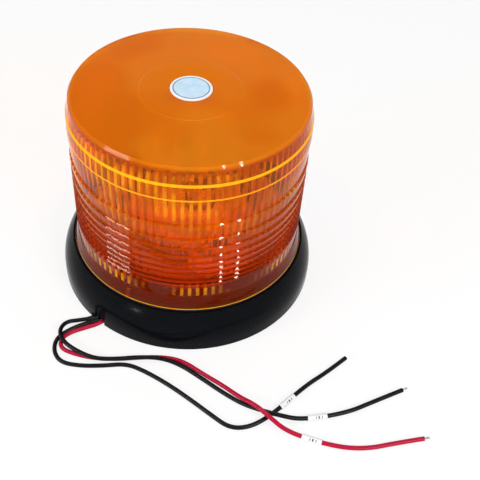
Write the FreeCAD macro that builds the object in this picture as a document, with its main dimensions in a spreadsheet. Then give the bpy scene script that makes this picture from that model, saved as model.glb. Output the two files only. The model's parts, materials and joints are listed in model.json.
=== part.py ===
"""Rotating beacon, 150 mm across: an amber Fresnel dome on a convex black base.

A small motor under the chassis plate turns a curved mirror around a fixed lamp through a compound
idler gear.  Three free leads leave through a notch in the base's lower edge.  Origin: centre of the
underside, +Z up the dome's axis, -Y towards the front.  All sizes are in millimetres.
"""

import FreeCAD, Part
import math
import os
import Sketcher

App = FreeCAD
Vector = App.Vector
UP = Vector(0, 0, 1)

doc = App.newDocument("RotatingBeacon")

# ---------------------------------------------------------------- driving dimensions

DRIVING = {
    # base
    "base_radius": 75.0,
    "base_lip": 0.8,
    "skirt_top": 6.0,
    "base_curve": 29.94,
    "shoulder_radius": 68.6,
    "deck_top": 24.5,
    "deck_depth": 2.5,
    "deck_hole": 42.0,
    "wall": 2.5,
    "spigot_radius": 62.4,
    "spigot_top": 31.0,
    "cover_low": 1.5,
    "cover_depth": 2.5,
    "cover_radius": 72.2,
    "pad_radius": 71.4,
    "pad_width": 6.0,
    "notch_angle": -132.5,
    "notch_width": 10.0,
    "notch_top": 4.8,
    "insert_circle": 52.0,
    "insert_radius": 3.5,
    "insert_bore": 2.1,
    "insert_depth": 12.0,
    "insert_angle": 30.0,
    "insert_wall": 2.0,
    "screw_circle": 62.0,
    "screw_angle": 90.0,
    "screw_count": 3,
    "boss_radius": 4.0,
    "pilot_radius": 1.25,
    "pilot_depth": 9.0,
    "clearance_radius": 1.6,
    "counterbore_radius": 3.0,
    "counterbore_depth": 1.5,
    "grommet_inner": 60.0,
    "grommet_outer": 68.0,
    "grommet_groove": 1.05,
    "grommet_low": 0.3,
    "grommet_top": 8.0,
    # lens
    "lens_low": 25.5,
    "lens_foot_radius": 67.2,
    "collar_top": 33.6,
    "drum_radius": 65.1,
    "zone_centre": 103.2,
    "zone_scale": 20.05,
    "zone_first": 0.66,
    "zone_count": 9,
    "zone_step": 0.9,
    "seam_step": 0.9,
    "seam_height": 0.8,
    "brow_step": 1.9,
    "cap_radius": 65.3,
    "cap_seam": 112.3,
    "brow_top": 119.4,
    "rim_top": 121.8,
    "rim_radius": 62.4,
    "crown_top": 122.4,
    "crown_radius": 27.3,
    "crown_step": 0.3,
    "ceiling": 119.2,
    "flute_crest": 61.9,
    "flute_depth": 0.8,
    "flute_count": 96,
    "flute_half": 3.2,
    "lens_bore": 62.9,
    "label_radius": 11.1,
    "label_depth": 0.9,
    "label_proud": 0.6,
    "lens_screw_circle": 64.3,
    "lens_pilot_depth": 4.0,
    # chassis and lamp
    "chassis_low": 29.5,
    "chassis_depth": 1.5,
    "chassis_radius": 54.0,
    "post_circle": 50.0,
    "post_pilot_depth": 6.0,
    "tube_radius": 9.0,
    "tube_bore": 7.65,
    "tube_top": 57.0,
    "flange_radius": 13.0,
    "flange_depth": 2.0,
    "cap_low": 45.0,
    "cap_high": 60.0,
    "cap_pin_radius": 1.0,
    "bulb_centre": 78.0,
    "bulb_radius": 12.5,
    "bulb_neck_curve": 24.0,
    # gear train
    "tooth_module": 0.8,
    "pinion_teeth": 10,
    "wheel_teeth": 40,
    "small_teeth": 12,
    "rotor_teeth": 70,
    "backlash": 0.14,
    "idler_angle": -60.0,
    "motor_angle": 167.0,
    "wheel_low": 32.2,
    "wheel_depth": 3.0,
    "small_top": 42.8,
    "rotor_low": 38.2,
    "rotor_depth": 4.0,
    "hub_radius": 14.0,
    "hub_top": 50.0,
    "bush_radius": 11.0,
    "running_gap": 0.05,
    "side_gap": 0.3,
    "shaft_radius": 1.0,
    "pin_radius": 1.5,
    "motor_radius": 12.0,
    "motor_length": 20.0,
    "motor_boss": 3.4,
    "motor_bore_depth": 6.0,
    "motor_fixing": 8.0,
    "small_screw": 0.9,
    # mirror
    "beam_angle": -100.0,
    "mirror_focus": 16.0,
    "mirror_curve": 39.0,
    "mirror_half": 30.0,
    "mirror_gauge": 1.2,
    "mirror_low": 58.5,
    "mirror_top": 102.0,
    "arm_gauge": 1.5,
    "arm_width": 16.0,
    "arm_top": 88.0,
    "arm_foot": 22.0,
    "arm_fixing": 4.5,
    "rivet_low": 68.0,
    "rivet_high": 82.0,
    "rivet_radius": 1.2,
    "weight_half_angle": 30.0,
    "weight_height": 4.0,
    # electrics
    "board_low": 7.0,
    "board_gauge": 1.6,
    "board_centre": 18.0,
    "board_half_length": 25.0,
    "board_half_width": 15.0,
    "board_fixing": 25.0,
    "board_turn": -28.6,
    "board_post_radius": 3.0,
    "board_screw": 1.0,
    "capacitor_radius": 5.0,
    "capacitor_height": 10.5,
    "choke_radius": 6.5,
    "choke_bore": 2.5,
    "choke_height": 5.0,
    "block_centre": -17.0,
    "block_half": 7.0,
    "block_face": 4.0,
    "block_depth": 8.0,
    "block_height": 9.0,
    "terminal_pitch": 4.5,
    "terminal_radius": 1.6,
    # leads
    "lead_diameter": 2.4,
    "marker_radius": 1.65,
    "marker_length": 10.5,
    "strand_radius": 0.55,
    "bare_length": 3.0,
    "inner_wire_radius": 0.9,
    "inner_wire_height": 11.5,
}

sheet = doc.addObject("Spreadsheet::Sheet", "Dims")
for row, (name, number) in enumerate(DRIVING.items(), start=1):
    sheet.set(f"A{row}", name)
    sheet.set(f"B{row}", str(number))
    sheet.setAlias(f"B{row}", name)
doc.recompute()


class Size:
    """A length that also carries the spreadsheet formula it came from."""

    def __init__(self, value, formula):
        self.value = value
        self.formula = formula

    def __add__(self, other):
        other = as_size(other)
        return Size(self.value + other.value, f"({self.formula} + {other.formula})")

    def __sub__(self, other):
        other = as_size(other)
        return Size(self.value - other.value, f"({self.formula} - {other.formula})")

    def __mul__(self, other):
        other = as_size(other)
        return Size(self.value * other.value, f"({self.formula} * {other.formula})")

    def __truediv__(self, other):
        other = as_size(other)
        return Size(self.value / other.value, f"({self.formula} / {other.formula})")

    def __rtruediv__(self, other):
        return as_size(other) / self

    def __neg__(self):
        return Size(-self.value, f"(0 - {self.formula})")

    def __radd__(self, other):
        return as_size(other) + self

    def __rsub__(self, other):
        return as_size(other) - self

    def __rmul__(self, other):
        return as_size(other) * self


def as_size(number):
    """Return the number as a Size."""
    return number if isinstance(number, Size) else Size(float(number), repr(float(number)))


def dim(name):
    """Return one driving dimension, read from the spreadsheet."""
    return Size(float(sheet.get(name)), f"Dims.{name}")


def root(size):
    """Return a Size's square root."""
    return Size(math.sqrt(size.value), f"sqrt({size.formula})")


def cosine(angle):
    """Return the cosine of an angle given in degrees as a Size."""
    return Size(math.cos(math.radians(angle.value)), f"cos({angle.formula} * 1 deg)")


def sine(angle):
    """Return the sine of an angle given in degrees as a Size."""
    return Size(math.sin(math.radians(angle.value)), f"sin({angle.formula} * 1 deg)")


# ---------------------------------------------------------------- modelling helpers

PARTS = []


def new_body(label, centre=None, turn=None):
    """Start a sub-part's body, turned about Z by turn degrees and moved to centre (x, y, z)."""
    body = doc.addObject("PartDesign::Body", label)
    body.Label = label
    body.AllowCompound = True
    if turn is not None:
        body.Placement = App.Placement(Vector(), App.Rotation(UP, turn.value))
        body.setExpression("Placement.Rotation.Angle", turn.formula)
    for axis, place in zip("xyz", centre or ()):
        body.setExpression(f"Placement.Base.{axis}", as_size(place).formula)
    PARTS.append(body)
    return body


def origin_feature(body, role):
    """Return one of the body's own origin planes or axes."""
    return next(item for item in body.Origin.OriginFeatures if item.Role == role)


def new_sketch(body, role="XZ_Plane", height=None):
    """Attach a sketch to one of the body's origin planes, lifted by height along its normal."""
    sketch = body.newObject("Sketcher::SketchObject", body.Label + "_sketch")
    sketch.AttachmentSupport = [(origin_feature(body, role), "")]
    sketch.MapMode = "FlatFace"
    if height is not None:
        sketch.setExpression("AttachmentOffset.Base.z", as_size(height).formula)
    return sketch


def fix(sketch, kind, place, size):
    """Bind one constraint of the sketch to a formula."""
    size = as_size(size)
    number = sketch.addConstraint(Sketcher.Constraint(kind, *place, size.value))
    sketch.setExpression(f"Constraints[{number}]", size.formula)


def draw_outline(sketch, corners):
    """Draw a closed outline through (x, y) corners; a third number is the radius of the arc that
    leaves the corner, positive where the arc bulges to the right of the way along."""
    corners = [(as_size(c[0]), as_size(c[1]), *c[2:]) for c in corners]
    edges = []
    for start, end in zip(corners, corners[1:] + corners[:1]):
        first = Vector(start[0].value, start[1].value, 0)
        last = Vector(end[0].value, end[1].value, 0)
        if len(start) == 2:
            edges.append((sketch.addGeometry(Part.LineSegment(first, last), False), 1, 2))
            continue
        radius = as_size(start[2])
        chord = last - first
        side = Vector(-chord.y, chord.x, 0).normalize()
        reach = math.sqrt(max(radius.value ** 2 - (chord.Length / 2) ** 2, 0.0))
        if radius.value > 0:
            centre = (first + last) / 2 + side * reach
            middle = centre - side * radius.value
        else:
            centre = (first + last) / 2 - side * reach
            middle = centre - side * radius.value
        arc = Part.Arc(first, middle, last)
        index = sketch.addGeometry(arc, False)
        forward = sketch.getPoint(index, 1).distanceToPoint(first) < 1e-6
        edges.append((index, 1, 2) if forward else (index, 2, 1))
        size = radius if radius.value > 0 else -radius
        fix(sketch, "Radius", (index,), size)
    for (edge, start, _), (before, _, end) in zip(edges, edges[-1:] + edges[:-1]):
        sketch.addConstraint(Sketcher.Constraint("Coincident", before, end, edge, start))
    for (edge, start, _), corner in zip(edges, corners):
        fix(sketch, "DistanceX", (-1, 1, edge, start), corner[0])
        fix(sketch, "DistanceY", (-1, 1, edge, start), corner[1])


def draw_circle(sketch, x, y, radius):
    """Draw a circle."""
    x, y, radius = as_size(x), as_size(y), as_size(radius)
    circle = Part.Circle(Vector(x.value, y.value, 0), UP, radius.value)
    index = sketch.addGeometry(circle, False)
    fix(sketch, "Radius", (index,), radius)
    fix(sketch, "DistanceX", (-1, 1, index, 3), x)
    fix(sketch, "DistanceY", (-1, 1, index, 3), y)


def revolve(body, corners, kind="Revolution"):
    """Turn an outline of (radius, z) corners about the body's Z axis."""
    sketch = new_sketch(body)
    draw_outline(sketch, corners)
    feature = body.newObject("PartDesign::" + kind, body.Label + "_" + kind.lower())
    feature.Profile = sketch
    feature.ReferenceAxis = (sketch, ["V_Axis"])
    feature.Angle = 360.0
    body.Tip = feature
    return feature


def spindle(body, offset, corners):
    """Turn an outline of (radius, z) corners about an upright axis at x = offset."""
    sketch = new_sketch(body)
    draw_outline(sketch, [(offset + c[0], *c[1:]) for c in corners])
    line = Part.LineSegment(Vector(offset.value, -1, 0), Vector(offset.value, 1, 0))
    index = sketch.addGeometry(line, True)
    sketch.addConstraint(Sketcher.Constraint("Vertical", index))
    fix(sketch, "DistanceX", (-1, 1, index, 1), offset)
    feature = body.newObject("PartDesign::Revolution", body.Label + "_spindle")
    feature.Profile = sketch
    feature.ReferenceAxis = (sketch, ["Axis0"])
    feature.Angle = 360.0
    body.Tip = feature
    return feature


def pad(body, low, high, draw, plane="XY_Plane"):
    """Pad what draw(sketch) draws from low to high."""
    sketch = new_sketch(body, plane, low)
    draw(sketch)
    feature = body.newObject("PartDesign::Pad", body.Label + "_pad")
    feature.Profile = sketch
    feature.setExpression("Length", (as_size(high) - as_size(low)).formula)
    body.Tip = feature
    return feature


def pocket(body, low, high, draw, plane="XY_Plane"):
    """Cut away what draw(sketch) draws from low to high."""
    sketch = new_sketch(body, plane, low)
    draw(sketch)
    feature = body.newObject("PartDesign::Pocket", body.Label + "_pocket")
    feature.Profile = sketch
    feature.Reversed = True
    feature.setExpression("Length", (as_size(high) - as_size(low)).formula)
    body.Tip = feature
    return feature


def around(body, feature, count):
    """Repeat a feature evenly about the body's Z axis."""
    pattern = body.newObject("PartDesign::PolarPattern", body.Label + "_pattern")
    pattern.Originals = [feature]
    pattern.Axis = (origin_feature(body, "Z_Axis"), [""])
    pattern.Angle = 360.0
    pattern.setExpression("Occurrences", as_size(count).formula)
    body.Tip = pattern
    return pattern


def circle_at(x, y, radius):
    """Return a function that draws one circle."""
    return lambda sketch: draw_circle(sketch, x, y, radius)


def box_at(x_low, x_high, y_low, y_high):
    """Return a function that draws one rectangle."""
    corners = [(x_low, y_low), (x_high, y_low), (x_high, y_high), (x_low, y_high)]
    return lambda sketch: draw_outline(sketch, corners)


def screws(label, circle, count, seat, head_way, head, shank, turn=0.0, centre=None):
    """Make pan-head screws on a circle; head and shank are (radius, length), head_way is +1 up."""
    body = new_body(label, centre, as_size(turn))
    top = seat + head_way * as_size(head[1])
    tip = seat - head_way * as_size(shank[1])
    corners = [(0, tip), (shank[0], tip), (shank[0], seat), (head[0], seat), (head[0], top), (0, top)]
    around(body, spindle(body, as_size(circle), corners), count)


# ---------------------------------------------------------------- named places

deck_low = dim("deck_top") - dim("deck_depth")
cover_top = dim("cover_low") + dim("cover_depth")
chassis_top = dim("chassis_low") + dim("chassis_depth")
flange_top = chassis_top + dim("flange_depth")
wheel_top = dim("wheel_low") + dim("wheel_depth")
rotor_top = dim("rotor_low") + dim("rotor_depth")
half_module = dim("tooth_module") / 2
first_distance = (dim("pinion_teeth") + dim("wheel_teeth")) * half_module
second_distance = (dim("small_teeth") + dim("rotor_teeth")) * half_module
idler_x = second_distance * cosine(dim("idler_angle"))
idler_y = second_distance * sine(dim("idler_angle"))
motor_x = idler_x + first_distance * cosine(dim("motor_angle"))
motor_y = idler_y + first_distance * sine(dim("motor_angle"))
clip_low = dim("hub_top") + 1 + dim("side_gap")
clip_high = clip_low + 1
mirror_turn = dim("beam_angle") + 90
rivet_heights = (dim("rivet_low"), dim("rivet_high"))
board_top = dim("board_low") + dim("board_gauge")
terminals = [dim("block_centre") + dim("terminal_pitch") * step for step in (-1, 0, 1)]
notch_half = dim("notch_width") / 2
insert_top = dim("cover_low") + dim("insert_depth")
lead_radius = dim("lead_diameter") / 2


def turned(x, y, angle):
    """Return the point (x, y) turned about the origin by an angle in degrees."""
    x, y = as_size(x), as_size(y)
    return (x * cosine(angle) - y * sine(angle), x * sine(angle) + y * cosine(angle))


def turned_box(x_low, x_high, half, angle):
    """Return a function that draws a rectangle about the X axis, turned by angle."""
    half = as_size(half)
    corners = [(x_low, -half), (x_high, -half), (x_high, half), (x_low, half)]
    return lambda sketch: draw_outline(sketch, [turned(x, y, angle) for x, y in corners])


def board_fixings():
    """Return the centres of the circuit board's two screws."""
    places = [turned(dim("board_fixing"), 0, dim("board_turn") + way) for way in (0, 180)]
    return [(x, dim("board_centre") + y) for x, y in places]


# ---------------------------------------------------------------- base

def base_housing():
    """Convex black shell with its deck, spigot, bosses and the lead notch."""
    body = new_body("base_housing")
    rim, shoulder, curve = dim("base_radius"), dim("shoulder_radius"), dim("base_curve")
    wall, skirt, deck = dim("wall"), dim("skirt_top"), dim("deck_top")
    spigot = dim("spigot_radius")
    inner_curve = curve - wall
    rise = deck_low - skirt
    inner_shoulder = rim - curve + root(inner_curve * inner_curve - rise * rise)
    revolve(body, [
        (rim, dim("base_lip")), (rim, skirt, curve), (shoulder, deck), (spigot, deck),
        (spigot, dim("spigot_top")), (spigot - wall, dim("spigot_top")), (spigot - wall, deck),
        (dim("deck_hole"), deck), (dim("deck_hole"), deck_low), (inner_shoulder, deck_low, -inner_curve),
        (rim - wall, skirt), (rim - wall, dim("base_lip"))])
    count, boss, pilot = dim("screw_count"), dim("boss_radius"), dim("pilot_radius")
    x, y = turned(dim("insert_circle"), 0, dim("insert_angle"))
    insert_boss = circle_at(x, y, dim("insert_radius") + dim("insert_wall"))
    around(body, pad(body, dim("cover_low"), deck_low, insert_boss), count)
    around(body, pocket(body, dim("cover_low"), insert_top, circle_at(x, y, dim("insert_radius"))), count)
    x, y = turned(dim("screw_circle"), 0, dim("screw_angle"))
    around(body, pad(body, cover_top, deck_low, circle_at(x, y, boss)), count)
    around(body, pocket(body, cover_top, cover_top + dim("pilot_depth"), circle_at(x, y, pilot)), count)
    x, y = turned(dim("post_circle"), 0, dim("screw_angle"))
    post_top = dim("chassis_low")
    around(body, pad(body, deck, post_top, circle_at(x, y, boss)), count)
    pilot_low = post_top - dim("post_pilot_depth")
    around(body, pocket(body, pilot_low, post_top, circle_at(x, y, pilot)), count)
    hole = pocket(body, deck_low, deck, circle_at(dim("lens_screw_circle"), 0, dim("clearance_radius")))
    around(body, hole, count)
    pocket(body, 0, dim("notch_top"), turned_box(rim - 6, rim + 3, notch_half, dim("notch_angle")))


def bottom_cover():
    """Round plate that closes the base, counterbored for its screws."""
    body = new_body("bottom_cover")
    low = dim("cover_low")
    revolve(body, [(0, low), (dim("cover_radius"), low), (dim("cover_radius"), cover_top), (0, cover_top)])
    count = dim("screw_count")
    x, y = turned(dim("insert_circle"), 0, dim("insert_angle"))
    boss_room = dim("insert_radius") + dim("insert_wall") + 0.1
    around(body, pocket(body, low, cover_top, circle_at(x, y, boss_room)), count)
    x, y = turned(dim("screw_circle"), 0, dim("screw_angle"))
    around(body, pocket(body, low, cover_top, circle_at(x, y, dim("clearance_radius"))), count)
    recess = circle_at(x, y, dim("counterbore_radius"))
    around(body, pocket(body, low, low + dim("counterbore_depth"), recess), count)
    reach = dim("cover_radius") + 2
    pocket(body, low, cover_top, turned_box(dim("grommet_inner") + 1, reach, notch_half, dim("notch_angle")))
    for x, y in board_fixings():
        pad(body, cover_top, dim("board_low"), circle_at(x, y, dim("board_post_radius")))
        pocket(body, cover_top, dim("board_low"), circle_at(x, y, dim("board_screw")))


def base_pad():
    """Rubber ring that the beacon stands on."""
    body = new_body("base_pad")
    outer = dim("pad_radius")
    inner = outer - dim("pad_width")
    revolve(body, [(inner, 0), (outer, 0), (outer, dim("cover_low")), (inner, dim("cover_low"))])
    reach = dim("base_radius")
    pocket(body, -1, 2, turned_box(inner - 2, reach, notch_half + 1, dim("notch_angle")))


def mounting_inserts():
    """Three threaded brass inserts, open downwards."""
    body = new_body("mounting_inserts", turn=dim("insert_angle"))
    low, top = dim("cover_low"), insert_top
    bore, outer = dim("insert_bore"), dim("insert_radius")
    first = spindle(body, dim("insert_circle"), [(bore, low), (outer, low), (outer, top), (bore, top)])
    around(body, first, dim("screw_count"))


# ---------------------------------------------------------------- lens

def zone_edge(number):
    """Return the height of the lower edge of one Fresnel zone, counted from the optical centre."""
    return dim("zone_centre") - dim("zone_scale") * root(dim("zone_first") + number)


def lens_dome():
    """Amber dome: stepped Fresnel zones outside, upright flutes inside, a plain collar below."""
    body = new_body("lens_dome")
    drum, step, low = dim("drum_radius"), dim("zone_step"), dim("lens_low")
    cap, seam = dim("cap_radius"), dim("cap_seam")
    above_seam = cap - dim("seam_step")
    foot_top = dim("spigot_top") + 1
    crown = dim("crown_top") + dim("crown_step")
    corners = [(dim("lens_bore"), low), (dim("lens_foot_radius"), low), (drum, dim("collar_top"))]
    for number in reversed(range(int(dim("zone_count").value))):
        edge = zone_edge(number)
        corners += [(drum, edge), (drum - step, edge)]
    corners += [
        (drum, dim("zone_centre")), (cap, dim("zone_centre") + 0.4), (cap - 0.4, seam - 0.4),
        (above_seam, seam), (above_seam, seam + dim("seam_height")),
        (cap - dim("brow_step"), dim("brow_top")),
        (dim("rim_radius"), dim("rim_top")), (dim("crown_radius"), dim("crown_top")),
        (dim("crown_radius") - 0.5, crown), (0, crown), (0, dim("ceiling")),
        (dim("flute_crest"), dim("ceiling")), (dim("flute_crest"), foot_top), (dim("lens_bore"), foot_top)]
    revolve(body, corners)
    pocket(body, crown - dim("label_depth") + dim("label_proud"), crown,
           circle_at(0, 0, dim("label_radius")))
    pilot = circle_at(dim("lens_screw_circle"), 0, dim("pilot_radius"))
    around(body, pocket(body, low, low + dim("lens_pilot_depth"), pilot), dim("screw_count"))
    crest, depth, half = dim("flute_crest"), dim("flute_depth"), dim("flute_half")
    groove = [(crest - depth, -half), (crest + depth, 0), (crest - depth, half)]
    flute = pocket(body, foot_top, dim("ceiling"), lambda sketch: draw_outline(sketch, groove))
    around(body, flute, dim("flute_count"))


def lens_seal():
    """Flat rubber ring between the lens and the deck."""
    body = new_body("lens_seal")
    inner, outer = dim("lens_bore"), dim("lens_foot_radius") - 0.2
    low, high = dim("deck_top"), dim("lens_low")
    revolve(body, [(inner, low), (outer, low), (outer, high), (inner, high)])
    hole = circle_at(dim("lens_screw_circle"), 0, dim("clearance_radius"))
    around(body, pocket(body, low, high, hole), dim("screw_count"))


def top_label():
    """Round white disc let into the crown."""
    body = new_body("top_label")
    low = dim("crown_top") + dim("crown_step") - dim("label_depth") + dim("label_proud")
    high = low + dim("label_depth")
    edge = dim("label_radius")
    revolve(body, [(0, low), (edge, low), (edge, high - 0.3), (edge - 0.3, high), (0, high)])


# ---------------------------------------------------------------- chassis and lamp

def chassis_plate():
    """Steel plate that carries the lampholder, the motor and the idler pin."""
    body = new_body("chassis_plate")
    low, high, edge = dim("chassis_low"), chassis_top, dim("chassis_radius")
    hole = dim("tube_radius") - 0.4
    revolve(body, [(hole, low), (edge, low), (edge, high), (hole, high)])
    x, y = turned(dim("post_circle"), 0, dim("screw_angle"))
    around(body, pocket(body, low, high, circle_at(x, y, dim("clearance_radius"))), dim("screw_count"))
    pocket(body, low, high, circle_at(motor_x, motor_y, dim("motor_boss")))
    for way in (90, 270):
        x, y = turned(dim("motor_fixing"), 0, dim("motor_angle") + way)
        pocket(body, low, high, circle_at(motor_x + x, motor_y + y, dim("small_screw")))
    pocket(body, low, high, circle_at(idler_x, idler_y, dim("pin_radius")))


def lampholder_tube():
    """Fixed centre tube: swaged into the plate, grooved for the circlip, slotted for the cap's pins."""
    body = new_body("lampholder_tube")
    bore, outer, top = dim("tube_bore"), dim("tube_radius"), dim("tube_top")
    neck, groove = outer - 0.4, outer - 0.8
    low = dim("chassis_low")
    inner = bore - 1.2
    revolve(body, [
        (inner, low - 1), (outer + 0.6, low - 1), (outer + 0.6, low), (neck, low), (neck, chassis_top),
        (dim("flange_radius"), chassis_top), (dim("flange_radius"), flange_top), (outer, flange_top),
        (outer, clip_low), (groove, clip_low), (groove, clip_high), (outer, clip_high), (outer, top),
        (bore, top), (bore, flange_top), (inner, flange_top)])
    pocket(body, top - 3.6, top, box_at(-outer - 1, outer + 1, -1.1, 1.1))


def lamp_contact():
    """Insulated centre contact under the lamp cap."""
    body = new_body("lamp_contact")
    bore = dim("tube_bore")
    revolve(body, [
        (0, flange_top), (bore, flange_top), (bore, flange_top + 3), (3, flange_top + 3),
        (3, dim("cap_low") - 4), (2, dim("cap_low") - 4), (2, dim("cap_low")), (0, dim("cap_low"))])


def lamp_cap():
    """Bayonet cap with its two pins in the tube's slots."""
    body = new_body("lamp_cap")
    edge = dim("tube_bore") - 0.15
    low, high = dim("cap_low"), dim("cap_high")
    revolve(body, [(0, low), (edge, low), (edge, high), (0, high)])
    pin_height = dim("tube_top") - 2.5
    pin_reach = dim("tube_radius") - 0.3
    pad(body, -pin_reach, pin_reach, circle_at(0, pin_height, dim("cap_pin_radius")), "YZ_Plane")


def lamp_bulb():
    """Pear-shaped glass bulb on the cap."""
    body = new_body("lamp_bulb")
    edge, middle = dim("bulb_radius"), dim("bulb_centre")
    neck = dim("tube_bore") - 1.4
    low, curve = dim("cap_high"), -dim("bulb_neck_curve")
    revolve(body, [(0, low), (neck, low), (neck, low + 3, curve), (edge, middle, edge), (0, middle + edge)])


def thrust_washer():
    """Washer on the tube's flange that the rotor runs on."""
    body = new_body("thrust_washer")
    inner, outer = dim("tube_radius") + dim("running_gap"), dim("bush_radius") + 1
    low, high = flange_top, flange_top + 1
    revolve(body, [(inner, low), (outer, low), (outer, high), (inner, high)])


# ---------------------------------------------------------------- gears

def draw_tooth(sketch, teeth, angle):
    """Draw one gear tooth, centred on angle; small gears get a belly at the pitch line."""
    module = dim("tooth_module")
    slack = dim("backlash") / 2
    pitch = teeth * module / 2
    tip, foot = pitch + module * 0.95, pitch - module * 1.5
    tip_half = module * (0.425 - 0.9 / teeth) - slack
    pitch_half = module * math.pi / 4 - slack
    if teeth.value < 20:
        flank = [(foot, module * 0.6), (pitch, pitch_half), (tip, tip_half)]
    else:
        flank = [(foot, module * 1.2 - slack), (tip, tip_half)]
    corners = [(x, -y) for x, y in flank] + [(x, y) for x, y in reversed(flank)]
    draw_outline(sketch, [turned(x, y, as_size(angle)) for x, y in corners])


def root_radius(teeth):
    """Return a gear's root radius."""
    return (teeth / 2 - 1.25) * dim("tooth_module")


def cut_teeth(body, teeth, low, high, angle=0.0):
    """Set a gear's teeth round the body's axis between two heights."""
    tooth = pad(body, low, high, lambda sketch: draw_tooth(sketch, teeth, angle))
    around(body, tooth, teeth)


def rotor_gear():
    """Driven gear with its hub; a tooth stands on the line to the idler."""
    body = new_body("rotor_gear", turn=dim("idler_angle"))
    low, high, top = dim("rotor_low"), rotor_top, dim("hub_top")
    bore, hub, edge = dim("bush_radius"), dim("hub_radius"), root_radius(dim("rotor_teeth"))
    web = low + 1.8
    revolve(body, [
        (bore, low - 2.2), (hub, low - 2.2), (hub, web), (edge - 2.5, web), (edge - 2.5, low), (edge, low),
        (edge, high), (hub, high), (hub, top), (bore, top)])
    cut_teeth(body, dim("rotor_teeth"), low, high)
    for way in (-1, 1):
        x, y = turned(way * dim("arm_fixing"), dim("arm_foot"), mirror_turn - dim("idler_angle"))
        pocket(body, web, high, circle_at(x, y, dim("small_screw")))


def rotor_bush():
    """Sintered bush that runs on the lampholder tube."""
    body = new_body("rotor_bush")
    inner, outer = dim("tube_radius") + dim("running_gap"), dim("bush_radius")
    low, high = flange_top + 1 + dim("side_gap"), dim("hub_top") + 1
    revolve(body, [(inner, low), (outer, low), (outer, high), (inner, high)])


def open_clip(label, inner, outer, low, high, centre=None):
    """Make a flat spring clip with a mouth."""
    body = new_body(label, centre)
    revolve(body, [(inner, low), (outer, low), (outer, high), (inner, high)])
    pocket(body, low, high, box_at(inner / 2, outer + 1, inner / -2, inner / 2))


def rotor_circlip():
    """Clip in the tube's groove that keeps the rotor down."""
    inner, outer = dim("tube_radius") - 0.8, dim("bush_radius")
    open_clip("rotor_circlip", inner, outer, clip_low + 0.05, clip_high - 0.05)


def idler_gear():
    """Compound gear: the wheel meets the motor's pinion, the small gear above it turns the rotor."""
    body = new_body("idler_gear", (idler_x, idler_y), dim("motor_angle"))
    low, high = dim("wheel_low"), dim("small_top")
    bore = dim("pin_radius") + dim("running_gap")
    wheel, small = root_radius(dim("wheel_teeth")), root_radius(dim("small_teeth"))
    revolve(body, [
        (bore, low), (wheel, low), (wheel, wheel_top), (wheel - 2, wheel_top), (wheel - 2, wheel_top - 1),
        (small + 2, wheel_top - 1), (small + 2, wheel_top), (small, wheel_top), (small, high), (bore, high)])
    cut_teeth(body, dim("wheel_teeth"), low, wheel_top)
    mesh_angle = dim("idler_angle") + 180 + 180 / dim("small_teeth") - dim("motor_angle")
    cut_teeth(body, dim("small_teeth"), wheel_top, high, mesh_angle)


def idler_pin():
    """Fixed pin, pressed into the plate."""
    body = new_body("idler_pin", (idler_x, idler_y))
    pin = dim("pin_radius")
    low, top = dim("chassis_low"), dim("small_top") + 2.4
    collar_top = dim("wheel_low") - dim("side_gap")
    groove_low = dim("small_top") + dim("side_gap")
    revolve(body, [
        (0, low), (pin, low), (pin, chassis_top), (pin + 1.3, chassis_top), (pin + 1.3, collar_top),
        (pin, collar_top), (pin, groove_low), (pin - 0.3, groove_low), (pin - 0.3, groove_low + 0.8),
        (pin, groove_low + 0.8), (pin, top), (0, top)])


def idler_clip():
    """Clip over the idler gear."""
    low = dim("small_top") + dim("side_gap")
    open_clip("idler_clip", dim("pin_radius") - 0.3, dim("pin_radius") + 1.7, low + 0.05, low + 0.75,
              (idler_x, idler_y))


# ---------------------------------------------------------------- motor

def motor_can():
    """Small flat-sided motor hung under the plate."""
    body = new_body("motor_can", (motor_x, motor_y), dim("motor_angle"))
    edge, high = dim("motor_radius"), dim("chassis_low")
    low = high - dim("motor_length")
    bore = dim("shaft_radius") + dim("running_gap")
    boss, floor = dim("motor_boss"), high - dim("motor_bore_depth")
    revolve(body, [
        (0, low - 1), (3, low - 1), (3, low), (edge - 1, low), (edge, low + 1), (edge, high),
        (boss, high), (boss, chassis_top), (bore, chassis_top), (bore, floor), (0, floor)])
    for way in (-1, 1):
        side = sorted((way * (edge.value - 2), way * (edge.value + 1)))
        pocket(body, low - 2, high, box_at(side[0], side[1], -edge, edge))
        pocket(body, high - 2, high, circle_at(0, way * dim("motor_fixing"), dim("small_screw")))


def motor_shaft():
    """Motor shaft, running in the can's front boss."""
    body = new_body("motor_shaft", (motor_x, motor_y))
    edge = dim("shaft_radius")
    low, high = dim("chassis_low") - dim("motor_bore_depth") + dim("side_gap"), wheel_top + 1.4
    revolve(body, [(0, low), (edge, low), (edge, high), (0, high)])


def motor_pinion():
    """Pinion on the motor shaft; a gap between teeth stands on the line to the wheel."""
    turn = dim("motor_angle") + 180 + 180 / dim("pinion_teeth")
    body = new_body("motor_pinion", (motor_x, motor_y), turn)
    low, high = dim("wheel_low"), wheel_top + 0.7
    bore, edge = dim("shaft_radius"), root_radius(dim("pinion_teeth"))
    revolve(body, [(bore, low), (edge, low), (edge, high), (bore, high)])
    cut_teeth(body, dim("pinion_teeth"), low, high)


# ---------------------------------------------------------------- mirror

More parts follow.
